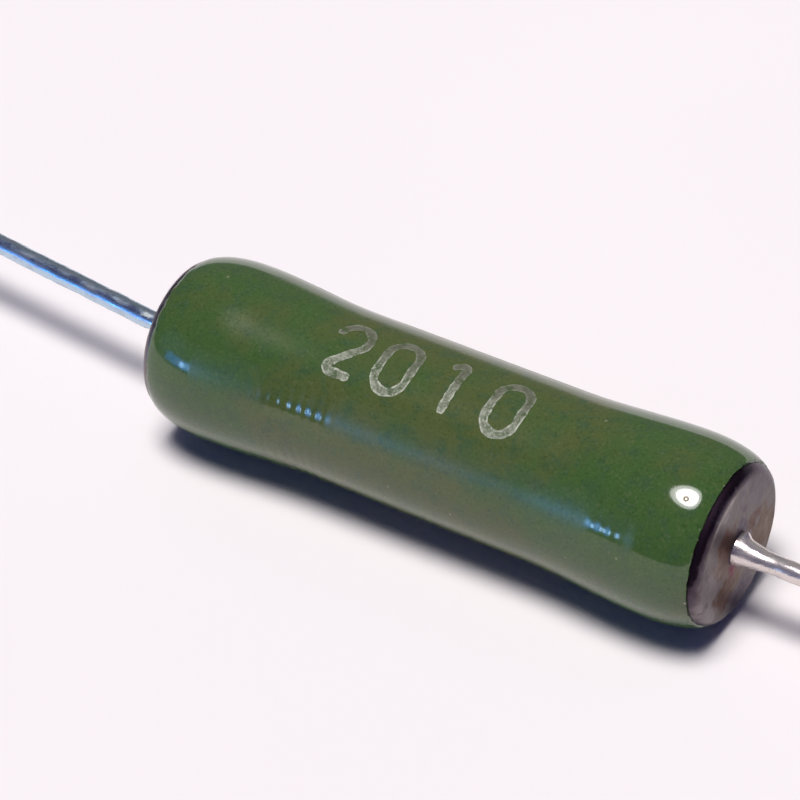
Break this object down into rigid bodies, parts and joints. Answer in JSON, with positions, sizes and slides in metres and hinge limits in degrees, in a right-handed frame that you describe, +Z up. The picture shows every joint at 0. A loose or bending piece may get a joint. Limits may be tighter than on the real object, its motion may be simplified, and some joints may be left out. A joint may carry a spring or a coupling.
{
  "type": "enamelled wirewound resistor",
  "caption": "Axial-lead wirewound power resistor with a waisted green fired-enamel body, bare pressed metal cap faces and stiff tinned wire leads.",
  "frame": {"origin": "middle of the body, on the winding axis, which is also the middle of the bounding box", "axes": "+X along the winding axis towards the straight lead, +Z up, +Y to the side that the left lead bends towards"},
  "size_m": [0.112, 0.0106, 0.0106],
  "materials": {
    "core_ceramic": "unglazed, fine-grained, off-white",
    "resistance_alloy": "drawn alloy wire, dulled by firing",
    "cap_metal": "pressed sheet, oxidised grey-brown with a dark shoulder",
    "tinned_wire": "hot-tinned, bright and slightly uneven",
    "green_enamel": "glossy fired enamel, faintly rippled by the winding below"
  },
  "bodies": {
    "root": {"ceramic_core": "core_ceramic", "resistance_winding": "resistance_alloy", "end_cap_left": "cap_metal", "end_cap_right": "cap_metal", "lead_left": "tinned_wire", "lead_right": "tinned_wire", "enamel_coat": "green_enamel"}
  },
  "joints": []
}
